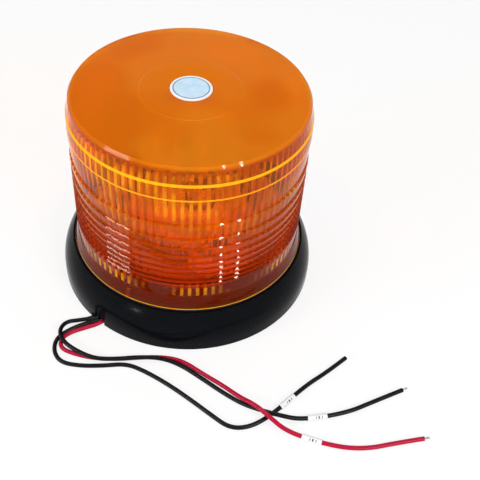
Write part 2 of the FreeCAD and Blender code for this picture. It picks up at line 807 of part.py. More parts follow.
def mirror():
    """Bent metal mirror behind the lamp, facing along the beam."""
    body = new_body("mirror", turn=mirror_turn)
    curve, half, gauge = dim("mirror_curve"), dim("mirror_half"), dim("mirror_gauge")
    back = dim("mirror_focus")
    end = back - curve + root(curve * curve - half * half)
    spread = gauge / curve
    outer_half = half * (spread + 1)
    outer_end = end + (end - back + curve) * spread
    outline = [
        (-half, end, -curve), (half, end), (outer_half, outer_end, curve + gauge), (-outer_half, outer_end)]
    pad(body, dim("mirror_low"), dim("mirror_top"), lambda sketch: draw_outline(sketch, outline))
    for height in rivet_heights:
        pocket(body, -(back + 2), -(back - 1), circle_at(0, height, dim("rivet_radius")), "XZ_Plane")


def mirror_arm():
    """Folded strip that carries the mirror on the rotor gear."""
    body = new_body("mirror_arm", turn=mirror_turn)
    near = dim("mirror_focus") + dim("mirror_gauge")
    far, gauge, half = near + 7.6, dim("arm_gauge"), dim("arm_width") / 2
    outline = [
        (near, rotor_top), (far, rotor_top), (far, rotor_top + gauge), (near + gauge, rotor_top + gauge),
        (near + gauge, dim("arm_top")), (near, dim("arm_top"))]
    pad(body, -half, half, lambda sketch: draw_outline(sketch, outline), "YZ_Plane")
    for way in (-1, 1):
        hole = circle_at(way * dim("arm_fixing"), dim("arm_foot"), dim("small_screw"))
        pocket(body, rotor_top, rotor_top + gauge, hole)
    for height in rivet_heights:
        pocket(body, -(near + gauge), -near, circle_at(0, height, dim("rivet_radius")), "XZ_Plane")


def mirror_rivets():
    """Two rivets through the mirror and its arm."""
    body = new_body("mirror_rivets", turn=mirror_turn)
    front = dim("mirror_focus")
    back = front + dim("mirror_gauge") + dim("arm_gauge")
    for height in rivet_heights:
        pad(body, -(front + 4), -(front - 0.5), circle_at(0, height, dim("rivet_radius")), "XZ_Plane")
        pad(body, -(back + 1), -back, circle_at(0, height, 2 * dim("rivet_radius")), "XZ_Plane")


def counterweight():
    """Steel sector opposite the mirror."""
    body = new_body("counterweight", turn=mirror_turn)
    inner, outer = dim("hub_radius") + 2, root_radius(dim("rotor_teeth")) - 2
    left, right = -90 - dim("weight_half_angle"), -90 + dim("weight_half_angle")
    outline = [
        (*turned(outer, 0, left), outer), turned(outer, 0, right),
        (*turned(inner, 0, right), -inner), turned(inner, 0, left)]
    pad(body, rotor_top, rotor_top + dim("weight_height"), lambda sketch: draw_outline(sketch, outline))


# ---------------------------------------------------------------- electrics

def circuit_board():
    """Board on the cover's posts."""
    body = new_body("circuit_board")
    middle, length, width = dim("board_centre"), dim("board_half_length"), dim("board_half_width")
    pad(body, dim("board_low"), board_top, box_at(-length, length, middle - width, middle + width))
    for x, y in board_fixings():
        pocket(body, dim("board_low"), board_top, circle_at(x, y, dim("board_screw")))


def capacitor():
    """Upright capacitor with a rolled neck."""
    body = new_body("capacitor", (14, dim("board_centre") + 6))
    low, top, edge = board_top, board_top + dim("capacitor_height"), dim("capacitor_radius")
    revolve(body, [
        (0, low), (edge, low), (edge, low + 1), (edge - 0.4, low + 1.6), (edge, low + 2.2),
        (edge, top), (0, top)])


def choke():
    """Ring choke lying on the board."""
    body = new_body("choke", (-2, dim("board_centre") + 5))
    low, high = board_top, board_top + dim("choke_height")
    bore, edge = dim("choke_bore"), dim("choke_radius")
    revolve(body, [(bore, low), (edge, low), (edge, high), (bore, high)])


def terminal_block():
    """Three-way terminal block with open wire ways."""
    body = new_body("terminal_block")
    middle, half, face, depth = (dim("block_" + name) for name in ("centre", "half", "face", "depth"))
    top = board_top + dim("block_height")
    pad(body, board_top, top, box_at(middle - half, middle + half, face, face + depth))
    for x in terminals:
        pocket(body, top - 3, top, circle_at(x, face + depth / 2, dim("terminal_radius")))


def lead_grommet():
    """Rubber block that closes the cover's cut-out round the leads."""
    body = new_body("lead_grommet")
    angle, high = dim("notch_angle"), dim("grommet_top")
    inner, outer = dim("grommet_inner"), dim("grommet_outer")
    flange = inner + dim("grommet_groove")
    pad(body, dim("grommet_low"), high, turned_box(flange, outer, notch_half - 0.1, angle))
    pad(body, cover_top, high, turned_box(inner, flange, notch_half + 1.5, angle))


# ---------------------------------------------------------------- leads

# Routes lie on the ground plane, rise over one another in long humps and start square to the grommet.
BLACK_LONG_ROUTE = [
    (-48.08, -48.18, 1.5), (-53.21, -53.78, 1.5), (-61.4, -55.4, 1.3), (-69.2, -57.0, 1.8), (-72.6, -64.6, 3.9),
    (-69.2, -72.6, 3.9), (-60.8, -78.4, 3.8), (-49.8, -83.9, 3.7), (-38.0, -84.0, 3.7), (-26.0, -82.6, 3.7),
    (-14.0, -82.6, 3.2), (-3.4, -85.6, 1.3), (8.0, -94.2, 1.25), (19.5, -103.4, 1.25), (29.4, -110.6, 1.8),
    (38.4, -115.9, 4.1), (48.6, -119.3, 4.3), (60.6, -120.4, 1.7), (84.6, -116.2, 1.7), (100.5, -108.8, 1.3),
    (117.6, -101.3, 1.25)]
BLACK_SHORT_ROUTE = [
    (-45.94, -50.14, 1.5), (-51.08, -55.74, 1.5), (-58.6, -58.0, 1.25), (-66.4, -62.2, 1.25),
    (-74.0, -67.6, 1.25), (-75.2, -77.4, 1.25), (-68.2, -84.8, 1.25), (-57.2, -87.0, 1.25),
    (-45.0, -86.8, 1.25), (-32.6, -85.4, 1.25), (-22.6, -90.0, 1.25), (-9.4, -98.6, 1.25), (3.4, -108.8, 1.25),
    (13.2, -117.2, 1.25), (23.0, -125.2, 1.25), (33.8, -124.4, 1.25), (45.4, -117.2, 1.6), (64.6, -99.2, 1.8),
    (77.4, -90.0, 1.3), (89.1, -80.2, 1.25)]
RED_ROUTE = [
    (-43.80, -52.10, 1.5), (-48.66, -57.41, 1.5), (-57.2, -60.8, 1.25), (-65.2, -64.2, 1.25),
    (-71.0, -69.2, 1.25), (-70.6, -76.4, 1.25), (-63.6, -80.4, 1.25), (-51.4, -82.0, 1.25),
    (-38.0, -82.4, 1.25), (-26.0, -80.9, 1.25), (-14.0, -79.6, 1.25), (-2.2, -82.2, 1.25), (9.6, -91.0, 1.25),
    (20.6, -98.8, 1.4), (29.0, -107.6, 3.6), (36.4, -114.6, 6.6), (43.2, -121.4, 6.2), (52.8, -128.2, 2.2),
    (76.2, -136.0, 1.7), (92.4, -137.0, 1.3), (108.4, -133.6, 1.25), (123.6, -131.0, 1.25)]
ARC_SHARE = 0.45    # how much of the shorter run each arc takes up


def lead_path(route):
    """Return a wire of straight runs joined by tangent arcs, and the arcs' radii."""
    points = [Vector(*point) for point in route]
    edges, radii = [], []
    here = points[0]
    for before, corner, after in zip(points, points[1:], points[2:]):
        arriving = (corner - before).normalize()
        leaving = (after - corner).normalize()
        trim = ARC_SHARE * min((corner - before).Length, (after - corner).Length)
        half_turn = arriving.getAngle(leaving) / 2
        radius = trim / math.tan(half_turn)
        start, end = corner - arriving * trim, corner + leaving * trim
        inward = (leaving - arriving).normalize()
        middle = corner + inward * (radius / math.cos(half_turn) - radius)
        edges += [Part.LineSegment(here, start).toShape(), Part.Arc(start, middle, end).toShape()]
        radii.append(radius)
        here = end
    edges.append(Part.LineSegment(here, points[-1]).toShape())
    return Part.Wire(edges), radii


def round_tube(path, start, way, radius):
    """Sweep a disc of one radius along a path."""
    ring = Part.Wire([Part.Circle(start, way, radius).toShape()])
    sweep = Part.BRepOffsetAPI.MakePipeShell(path)
    sweep.add(ring)
    sweep.build()
    sweep.makeSolid()
    return sweep.shape()


def plain_part(label, shape):
    """Add a sub-part whose shape comes from Part's own functions."""
    feature = doc.addObject("Part::Feature", label)
    feature.Label = label
    feature.Shape = shape
    PARTS.append(feature)
    return feature


def lead(label, route):
    """Make one free lead and print its arcs' radii and its volume against section times length."""
    path, radii = lead_path(route)
    start, following = Vector(*route[0]), Vector(*route[1])
    tube = round_tube(path, start, following - start, lead_radius.value)
    share = tube.Volume / (math.pi * lead_radius.value ** 2 * path.Length)
    listed = ", ".join(f"{radius:.0f}" for radius in radii)
    print(f"{label}: {path.Length:.0f} long, arc radii {listed}, volume ratio {share:.4f}")
    plain_part(label, tube)


def marker(label, route, run):
    """Slip a marker sleeve over the straight middle of one run of a lead."""
    length = dim("marker_length").value
    before, start, end, after = (Vector(*route[run + step]) for step in (-1, 0, 1, 2))
    way = (end - start).normalize()
    near = ARC_SHARE * (start - before).Length
    far = (end - start).Length - ARC_SHARE * (after - end).Length
    foot = start + way * ((near + far - length) / 2)
    outer = Part.makeCylinder(dim("marker_radius").value, length, foot, way)
    plain_part(label, outer.cut(Part.makeCylinder(lead_radius.value, length, foot, way)))


def bare_end(label, route):
    """Strip the end of a lead to its strands."""
    start, end = Vector(*route[-2]), Vector(*route[-1])
    radius, length = dim("strand_radius").value, dim("bare_length").value
    plain_part(label, Part.makeCylinder(radius, length, end, end - start))


def internal_leads():
    """Three wires from the grommet to the terminal block."""
    angle = dim("notch_angle")
    wires = []
    inner, high = dim("grommet_inner"), dim("inner_wire_height").value
    for offset, terminal in zip((-2.9, 0, 2.9), terminals):
        start, bend = (turned(radius, offset, angle) for radius in (inner, inner - 14))
        route = [
            (start[0].value, start[1].value, 6), (bend[0].value, bend[1].value, 6),
            (terminal.value, -14, high), (terminal.value, dim("block_face").value, high)]
        path, _ = lead_path(route)
        first, following = Vector(*route[0]), Vector(*route[1])
        wires.append(round_tube(path, first, following - first, dim("inner_wire_radius").value))
    plain_part("internal_leads", Part.makeCompound(wires))


# ---------------------------------------------------------------- assembly

base_housing()
bottom_cover()
base_pad()
mounting_inserts()
screws("cover_screws", dim("screw_circle"), dim("screw_count"), dim("cover_low") + dim("counterbore_depth"),
       -1, (2.7, 1.3), (dim("pilot_radius"), 9), dim("screw_angle"))
lens_dome()
lens_seal()
screws("lens_screws", dim("lens_screw_circle"), dim("screw_count"), deck_low, -1, (2.2, 1.6),
       (dim("pilot_radius"), 7.2))
top_label()
chassis_plate()
screws("chassis_screws", dim("post_circle"), dim("screw_count"), chassis_top, 1, (2.7, 1.8),
       (dim("pilot_radius"), 7), dim("screw_angle"))
lampholder_tube()
lamp_contact()
lamp_cap()
lamp_bulb()
thrust_washer()
rotor_gear()
rotor_bush()
rotor_circlip()
idler_gear()
idler_pin()
idler_clip()
motor_can()
screws("motor_screws", dim("motor_fixing"), 2, chassis_top, 1, (1.9, 1.1), (dim("small_screw"), 3.2),
       dim("motor_angle") + 90, (motor_x, motor_y))
motor_shaft()
motor_pinion()
mirror()
mirror_arm()
mirror_rivets()
screws("arm_screws", dim("arm_fixing"), 2, rotor_top + dim("arm_gauge"), 1, (1.9, 1.2),
       (dim("small_screw"), 3.4), mirror_turn, turned(0, dim("arm_foot"), mirror_turn))
counterweight()
circuit_board()
screws("board_screws", dim("board_fixing"), 2, board_top, 1, (1.9, 1.2), (dim("board_screw"), 4),
       dim("board_turn"), (0, dim("board_centre")))
capacitor()
choke()
terminal_block()
lead_grommet()
internal_leads()
lead("black_lead_long", BLACK_LONG_ROUTE)
lead("black_lead_short", BLACK_SHORT_ROUTE)
lead("red_lead", RED_ROUTE)
marker("black_long_marker", BLACK_LONG_ROUTE, 17)
marker("black_short_marker", BLACK_SHORT_ROUTE, 16)
marker("red_marker", RED_ROUTE, 17)
bare_end("black_long_bare_end", BLACK_LONG_ROUTE)
bare_end("red_bare_end", RED_ROUTE)

doc.recompute()

# ---------------------------------------------------------------- checks and export

failed = [item.Name for item in doc.Objects if "Invalid" in item.State or "Error" in item.State]
for item in PARTS:
    if item.Shape.isNull() or not item.Shape.isValid() or not item.Shape.Solids:
        failed.append(item.Label)
if failed:
    raise RuntimeError("these objects failed: " + ", ".join(failed))

os.makedirs("parts", exist_ok=True)
for item in PARTS:
    item.Shape.exportStep(f"parts/{item.Label}.step")
print(f"{len(PARTS)} sub-parts written")
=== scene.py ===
"""Rotating beacon: an amber Fresnel dome on a convex black base, with three loose leads.

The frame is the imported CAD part.  Outlines are written in millimetres.  Everything else is in
metres, with +Z up the dome's axis and -Y towards the front.
"""

import json
import math

import bmesh
import bpy
from bpy.props import FloatProperty, FloatVectorProperty, IntProperty, PointerProperty
from mathutils import Matrix, Quaternion, Vector


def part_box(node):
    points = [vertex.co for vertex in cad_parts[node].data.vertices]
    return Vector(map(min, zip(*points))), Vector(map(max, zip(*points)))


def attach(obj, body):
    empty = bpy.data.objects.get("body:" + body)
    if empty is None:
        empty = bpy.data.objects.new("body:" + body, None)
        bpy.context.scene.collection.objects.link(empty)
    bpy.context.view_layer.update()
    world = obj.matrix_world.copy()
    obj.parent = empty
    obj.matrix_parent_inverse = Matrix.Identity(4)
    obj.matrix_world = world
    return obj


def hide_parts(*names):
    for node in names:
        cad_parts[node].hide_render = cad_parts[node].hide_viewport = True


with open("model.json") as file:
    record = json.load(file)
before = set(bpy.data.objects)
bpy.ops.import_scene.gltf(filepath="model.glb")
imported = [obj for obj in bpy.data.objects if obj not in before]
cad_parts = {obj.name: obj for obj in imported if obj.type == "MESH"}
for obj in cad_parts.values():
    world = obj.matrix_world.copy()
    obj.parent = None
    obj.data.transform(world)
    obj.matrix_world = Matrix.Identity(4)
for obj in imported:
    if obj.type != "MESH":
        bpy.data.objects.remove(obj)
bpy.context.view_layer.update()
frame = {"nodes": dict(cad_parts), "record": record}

bl_info = {
    "name": "Rotating beacon",
    "version": (1, 0, 0),
    "blender": (4, 5, 0),
    "location": "3D View > Sidebar > Beacon",
    "description": "Dresses the beacon's frame: dome, base, leads, lamp and drive",
    "category": "Object",
}

MM = 0.001
FULL_TURN = 2 * math.pi
UP = Vector((0, 0, 1))

# Free leads: control points of each centreline
BLACK_LONG_ROUTE = [
    (-0.04808, -0.04818, 0.0015), (-0.05321, -0.05378, 0.0015), (-0.0614, -0.0554, 0.0013),
    (-0.0685, -0.0570, 0.0018), (-0.0712, -0.0646, 0.0039), (-0.0684, -0.0722, 0.0039),
    (-0.0608, -0.0784, 0.0038), (-0.0498, -0.0839, 0.0037), (-0.0380, -0.0840, 0.0037),
    (-0.0260, -0.0826, 0.0037), (-0.0140, -0.0826, 0.0032), (-0.0034, -0.0856, 0.0013),
    (0.0080, -0.0942, 0.00125), (0.0195, -0.1034, 0.00125), (0.0294, -0.1106, 0.0018),
    (0.0384, -0.1159, 0.0041), (0.0486, -0.1193, 0.0043), (0.0606, -0.1204, 0.0017),
    (0.0846, -0.1162, 0.0017), (0.1005, -0.1088, 0.0013), (0.1176, -0.1013, 0.00125)]
BLACK_SHORT_ROUTE = [
    (-0.04594, -0.05014, 0.0015), (-0.05108, -0.05574, 0.0015), (-0.0586, -0.0580, 0.00125),
    (-0.0660, -0.0622, 0.00125), (-0.0724, -0.0680, 0.00125), (-0.0730, -0.0770, 0.00125),
    (-0.0682, -0.0848, 0.00125), (-0.0572, -0.0870, 0.00125), (-0.0450, -0.0868, 0.00125),
    (-0.0326, -0.0854, 0.00125), (-0.0226, -0.0900, 0.00125), (-0.0094, -0.0986, 0.00125),
    (0.0034, -0.1088, 0.00125), (0.0132, -0.1172, 0.00125), (0.0230, -0.1252, 0.00125),
    (0.0338, -0.1244, 0.00125), (0.0454, -0.1172, 0.0016), (0.0646, -0.0992, 0.0018),
    (0.0774, -0.0900, 0.0013), (0.0891, -0.0802, 0.00125)]
RED_ROUTE = [
    (-0.04380, -0.05210, 0.0015), (-0.04866, -0.05741, 0.0015), (-0.0572, -0.0608, 0.00125),
    (-0.0650, -0.0640, 0.00125), (-0.0700, -0.0688, 0.00125), (-0.0692, -0.0752, 0.00125),
    (-0.0622, -0.0788, 0.00125), (-0.0512, -0.0818, 0.00125), (-0.0380, -0.0824, 0.00125),
    (-0.0260, -0.0812, 0.00125), (-0.0140, -0.0806, 0.00125), (-0.0025, -0.0828, 0.00125),
    (0.0091, -0.0916, 0.00125), (0.0201, -0.0994, 0.0014), (0.0286, -0.1080, 0.0036),
    (0.0364, -0.1146, 0.0066), (0.0432, -0.1214, 0.0062), (0.0528, -0.1282, 0.0022),
    (0.0762, -0.1360, 0.0017), (0.0924, -0.1370, 0.0013), (0.1084, -0.1336, 0.00125),
    (0.1236, -0.1310, 0.00125)]


# ---------------------------------------------------------------- settings

class BeaconCamera(bpy.types.PropertyGroup):
    """Where the scene is looked at from."""

    distance: FloatProperty(name="Distance", description="From the middle of the dome",
                            default=0.445, subtype="DISTANCE", unit="LENGTH")
    aim_height: FloatProperty(name="Aim height", description="Height the distance is taken from",
                              default=0.060, subtype="DISTANCE", unit="LENGTH")
    elevation: FloatProperty(name="Elevation", description="Above the floor",
                             default=math.radians(40.81), subtype="ANGLE")
    turn: FloatProperty(name="Turn", description="How far the view turns to the right of the dome",
                        default=math.radians(5.386), subtype="ANGLE")
    tilt: FloatProperty(name="Tilt", description="How far the view looks down",
                        default=math.radians(44.972), subtype="ANGLE")
    roll: FloatProperty(name="Roll", description="How far the view leans",
                        default=math.radians(4.883), subtype="ANGLE")
    focal_length: FloatProperty(name="Focal length", description="In millimetres, on a 36 mm film",
                                default=58.0)


class BeaconDome(bpy.types.PropertyGroup):
    """The amber dome."""

    colour: FloatVectorProperty(name="Amber", description="Colour of the dyed plastic",
                                subtype="COLOR", size=3, default=(0.70, 0.21, 0.0012))
    foot: FloatVectorProperty(name="Foot", description="Deeper colour of the wall near its foot",
                              subtype="COLOR", size=3, default=(0.47, 0.045, 0.0006))
    crown: FloatVectorProperty(name="Crown", description="Colour of the cloudy crown",
                               subtype="COLOR", size=3, default=(0.78, 0.238, 0.008))
    # Painted glow: the beads' bright colour stands in for light gathered in them
    bead_glow_colour: FloatVectorProperty(name="Beads", description="Colour of the bright beads",
                              subtype="COLOR", size=3, default=(1.0, 0.42, 0.010))
    # Painted light: the bright bars stand in for light refracted through the flutes
    bars: FloatVectorProperty(name="Bars", description="Colour of the bright bars on the flutes",
                              subtype="COLOR", size=3, default=(1.0, 0.46, 0.012))
    # Painted shade: the darker colour deep between the Fresnel steps stands in for shade
    valley_shade_colour: FloatVectorProperty(name="Valleys", description="Colour deep between the Fresnel steps",
                                subtype="COLOR", size=3, default=(0.62, 0.10, 0.001))
    steps: IntProperty(name="Steps", description="Faces around the dome", default=576)
    flutes: IntProperty(name="Flutes", description="Upright flutes inside the wall", default=96)
    flute_depth: FloatProperty(name="Flute depth", description="How deep each flute is",
                               default=0.0008, subtype="DISTANCE", unit="LENGTH")


class BeaconBase(bpy.types.PropertyGroup):
    """The black base."""

    colour: FloatVectorProperty(name="Black", description="Colour of the moulded shell",
                                subtype="COLOR", size=3, default=(0.0020, 0.0025, 0.0035))
    grain: FloatProperty(name="Grain", description="Height of the moulded surface's grain",
                         default=0.000006, subtype="DISTANCE", unit="LENGTH")


class BeaconLeads(bpy.types.PropertyGroup):
    """The three free leads."""

    diameter: FloatProperty(name="Diameter", description="Over the insulation",
                            default=0.0024, subtype="DISTANCE", unit="LENGTH")
    black: FloatVectorProperty(name="Black", description="Colour of the two black leads",
                               subtype="COLOR", size=3, default=(0.0025, 0.0025, 0.0035))
    red: FloatVectorProperty(name="Red", description="Colour of the red lead",
                             subtype="COLOR", size=3, default=(0.46, 0.004, 0.040))
    strands: IntProperty(name="Strands", description="Bare strands showing at an end", default=7)


# ---------------------------------------------------------------- materials

GLOSS_SCALE = 0.31      # a finish's gloss wanders in larger blotches than its colour


def new_finish(name):
    """A node material, its tree and its shader."""
    material = bpy.data.materials.new(name)
    material.use_nodes = True
    shader = material.node_tree.nodes["Principled BSDF"]
    return material, material.node_tree, shader


def add(tree, kind, **settings):
    """A node with its settings."""
    node = tree.nodes.new("ShaderNode" + kind)
    for key, value in settings.items():
        setattr(node, key, value)
    return node


def grain(tree, scale, detail=3.0, stretch=None):
    """Noise over the piece itself; scale is in blotches a metre."""
    place = add(tree, "TexCoord").outputs["Object"]
    if stretch:
        mapping = add(tree, "Mapping")
        mapping.inputs["Scale"].default_value = stretch
        tree.links.new(place, mapping.inputs["Vector"])
        place = mapping.outputs["Vector"]
    noise = add(tree, "TexNoise")
    noise.inputs["Scale"].default_value = scale
    noise.inputs["Detail"].default_value = detail
    tree.links.new(place, noise.inputs["Vector"])
    return noise.outputs["Fac"]


def between(tree, factor, low, high, start=0.3, end=0.7):
    """A value that runs from low to high as the factor runs from start to end."""
    node = add(tree, "MapRange")
    for socket, value in zip(("From Min", "From Max", "To Min", "To Max"), (start, end, low, high)):
        node.inputs[socket].default_value = value
    tree.links.new(factor, node.inputs["Value"])
    return node.outputs["Result"]


def rises(tree, value, at, soft):
    """0 below a place and 1 above it, over a soft edge."""
    node = add(tree, "MapRange", interpolation_type="SMOOTHSTEP")
    node.inputs["From Min"].default_value = at - soft / 2
    node.inputs["From Max"].default_value = at + soft / 2
    tree.links.new(value, node.inputs["Value"])
    return node.outputs["Result"]


def calculate(tree, operation, first, second=0):
    """One Math node; each side is a socket or a number."""
    node = add(tree, "Math", operation=operation)
    for socket, value in zip(node.inputs, (first, second)):
        if isinstance(value, bpy.types.NodeSocket):
            tree.links.new(value, socket)
        else:
            socket.default_value = value
    return node.outputs[0]


def band(tree, value, low, high, soft):
    """1 between two places and 0 outside them, over soft edges."""
    return calculate(tree, "SUBTRACT", rises(tree, value, low, soft), rises(tree, value, high, soft))


def own_coordinates(tree):
    """The piece's own x, y and z."""
    split = add(tree, "SeparateXYZ")
    tree.links.new(add(tree, "TexCoord").outputs["Object"], split.inputs[0])
    return split.outputs[0], split.outputs[1], split.outputs[2]


def reach_from_axis(tree, x, y):
    """Distance from the upright axis."""
    flat = add(tree, "CombineXYZ")
    tree.links.new(x, flat.inputs[0])
    tree.links.new(y, flat.inputs[1])
    reach = add(tree, "VectorMath", operation="LENGTH")
    tree.links.new(flat.outputs[0], reach.inputs[0])
    return reach.outputs["Value"]


def blend_colours(tree, factor, first, second):
    """A colour that runs from first to second with the factor."""
    node = add(tree, "Mix", data_type="RGBA")
    for socket, colour in ((6, first), (7, second)):
        if isinstance(colour, bpy.types.NodeSocket):
            tree.links.new(colour, node.inputs[socket])
        else:
            node.inputs[socket].default_value = (*colour, 1)
    tree.links.new(factor, node.inputs[0])
    return node.outputs[2]


def shaded(colour, shares):
    """A colour with each of its channels scaled."""
    return tuple(channel * share for channel, share in zip(colour, shares))


def mix_surface(tree, factor, first, second):
    """The material's surface runs from the first shader to the second with the factor."""
    mix = add(tree, "MixShader")
    tree.links.new(factor, mix.inputs[0])
    tree.links.new(first.outputs[0], mix.inputs[1])
    tree.links.new(second.outputs[0], mix.inputs[2])
    tree.links.new(mix.outputs[0], tree.nodes["Material Output"].inputs["Surface"])


def raise_surface(tree, shader, height, depth):
    """Bump from a height factor."""
    bump = add(tree, "Bump")
    bump.inputs["Strength"].default_value = 1.0
    bump.inputs["Distance"].default_value = depth
    tree.links.new(height, bump.inputs["Height"])
    tree.links.new(bump.outputs["Normal"], shader.inputs["Normal"])


def finish(name, colour, other, rough, scale, bump=0.00001, metallic=0.0, coat=0.0, stretch=None,
           specular=0.5):
    """A finish whose colour wanders between two shades and whose gloss wanders in a range."""
    material, tree, shader = new_finish(name)
    pattern = grain(tree, scale, stretch=stretch)
    tree.links.new(blend_colours(tree, between(tree, pattern, 0, 1), colour, other),
                   shader.inputs["Base Color"])
    tree.links.new(between(tree, grain(tree, scale * GLOSS_SCALE, stretch=stretch), *rough),
                   shader.inputs["Roughness"])
    raise_surface(tree, shader, pattern, bump)
    shader.inputs["Metallic"].default_value = metallic
    shader.inputs["Coat Weight"].default_value = coat
    shader.inputs["Coat Roughness"].default_value = 0.08
    shader.inputs["Specular IOR Level"].default_value = specular
    return material


def metal(name, colour, other, rough, scale, bump=0.00001, stretch=None):
    """A metal finish."""
    return finish(name, colour, other, rough, scale, bump, metallic=1.0, stretch=stretch)


def wear(obj, material):
    """The piece wears one material all over."""
    obj.data.materials.clear()
    obj.data.materials.append(material)


def dress(finishes):
    """CAD pieces that still show wear the finish of their material slot."""
    slots = {part["node"]: part["material_slot"] for part in frame["record"]["subparts"]}
    for name, obj in frame["nodes"].items():
        material = finishes.get(slots.get(name))
        if material and not obj.hide_render:
            wear(obj, material)


# ---------------------------------------------------------------- modelling

def deselect():
    """Nothing is selected, so the next operator only acts on what it adds."""
    bpy.ops.object.select_all(action="DESELECT")


def open_piece(obj):
    """The piece alone is selected and opened in edit mode, with nothing of it selected."""
    deselect()
    obj.select_set(True)
    bpy.context.view_layer.objects.active = obj
    bpy.ops.object.mode_set(mode="EDIT")
    bpy.ops.mesh.select_all(action="DESELECT")


def close_piece(obj, angle=35):
    """Back to object mode, with smooth faces up to an angle."""
    bpy.ops.object.mode_set(mode="OBJECT")
    bpy.ops.object.shade_smooth_by_angle(angle=math.radians(angle))
    return obj


def rounded(corners, steps=4):
    """An outline with its corners rounded; a corner is (out, up) or (out, up, radius)."""
    line = []
    for i, corner in enumerate(corners):
        here = Vector(corner[:2])
        if len(corner) < 3 or i in (0, len(corners) - 1):
            line.append(tuple(here))
            continue
        before, after = Vector(corners[i - 1][:2]) - here, Vector(corners[i + 1][:2]) - here
        half = before.angle(after) / 2
        back = corner[2] / math.tan(half)
        start, end = here + before.normalized() * back, here + after.normalized() * back
        middle = here + (before.normalized() + after.normalized()).normalized() * (
            corner[2] / math.sin(half))
        first, last = start - middle, end - middle
        sweep = first.angle_signed(last)
        for step in range(steps + 1):
            angle = -sweep * step / steps
            line.append(tuple(middle + Matrix.Rotation(angle, 2) @ first))
    return line


def turned(name, outline, steps=192, angle=35):
    """A piece turned about the upright axis: one point is drawn out along the outline and spun."""
    deselect()
    bpy.ops.mesh.primitive_plane_add(size=MM, location=(0, 0, 0))
    obj = bpy.context.object
    obj.name = obj.data.name = name
    bpy.ops.object.mode_set(mode="EDIT")
    bpy.ops.mesh.select_all(action="SELECT")
    bpy.ops.mesh.merge(type="CENTER")
    bpy.ops.transform.translate(value=(outline[0][0] * MM, 0, outline[0][1] * MM))
    for (out, up), (next_out, next_up) in zip(outline, outline[1:]):
        bpy.ops.mesh.extrude_vertices_move(TRANSFORM_OT_translate={
            "value": ((next_out - out) * MM, 0, (next_up - up) * MM)})
    bpy.ops.mesh.select_all(action="SELECT")
    bpy.ops.mesh.spin(steps=steps, angle=FULL_TURN, center=(0, 0, 0), axis=(0, 0, 1))
    bpy.ops.mesh.select_all(action="SELECT")
    bpy.ops.mesh.remove_doubles(threshold=0.000004)
    bpy.ops.mesh.normals_make_consistent(inside=False)
    return close_piece(obj, angle)


def shown_as(obj, body, slot, *nodes):
    """The piece rides on a body and stands for the CAD nodes; the slot is not used."""
    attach(obj, body)
    if nodes:
        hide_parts(*nodes)
    return obj


# ---------------------------------------------------------------- dome

# The lens's steps, in millimetres
LENS_TOP = 103.2
DRUM_RADIUS = 65.1
ZONES = 9
FIRST_ZONE, ZONE_SPREAD = 0.66, 20.05       # edges go down with the square root of their number
FACE_LEAN, FACE_SWELL = 0.9, 0.06           # how far a face leans in, and swells on the way
VALLEY_RISE = 0.08                          # the face ends this far above the notch below it
NOTCH_DEPTH, SHOULDER_DROP = 0.6, 0.673     # the notch, and the slope from it to the next face

# The dome's inner wall, where the flutes are pressed
INNER_RADIUS = 0.0619
INNER_WALL = (0.0617, 0.0620)
FLUTE_HEIGHTS = (0.0324, 0.1186)
SMOOTH_ANGLE = 30

# The dome's beads, where a bright glow is painted, from the top: lower edge, upper edge and softness of
# the edges
BEADS = ((0.1114, 0.1128, 0.0004), (0.1027, 0.1039, 0.0004), (0.0255, 0.0263, 0.0002))

# How much light the clear wall lets through, and how much less the cloudy places do
CLEAR = 0.86
CROWN_CLOUD, BEAD_GLOW_CLOUD, FLUTE_GLOW_CLOUD = 0.44, 0.80, 0.35


def zone_edges():
    """Lower edges of the Fresnel zones, from the lens's top down."""
    return [LENS_TOP - ZONE_SPREAD * math.sqrt(FIRST_ZONE + number) for number in range(ZONES)]


def fresnel_face(high, low):
    """One zone's face, from its top to its foot."""
    return [(DRUM_RADIUS - share * FACE_LEAN + math.sin(math.pi * share) * FACE_SWELL,
             high - share * (high - low)) for share in (0.0, 0.25, 0.5, 0.75, 1.0)]


def dome_outline():
    """The dome's wall from the middle of its top, down the outside and back up the inside."""
    outside = rounded([
        (0, 122.4), (11.3, 122.4, 0.1), (11.5, 122.7, 0.12), (26.7, 122.7, 0.2), (27.4, 122.38, 0.2),
        (45, 122.2, 60), (62.0, 121.85), (63.2, 120.25), (63.25, 119.4), (64.4, 113.3, 0.2),
        (64.4, 112.6, 0.15), (65.0, 112.0, 0.45), (65.3, 104.0, 0.35), (64.9, LENS_TOP, 0.1)])
    high = LENS_TOP
    for edge in zone_edges():
        outside += fresnel_face(high, edge + VALLEY_RISE)
        outside.append((DRUM_RADIUS - NOTCH_DEPTH, edge))
        high = edge - SHOULDER_DROP
    outside += rounded([
        (DRUM_RADIUS, high), (DRUM_RADIUS, 33.6, 0.6), (67.2, 25.9, 0.3), (66.9, 25.5), (62.9, 25.5)])
    inside = rounded([
        (62.9, 25.5), (62.9, 32.0, 0.3), (61.9, 32.2, 0.2), (61.9, 70), (61.9, 118.6, 1.5),
        (60.0, 119.2), (30, 119.2), (0, 119.2)])[1:]
    return outside + inside


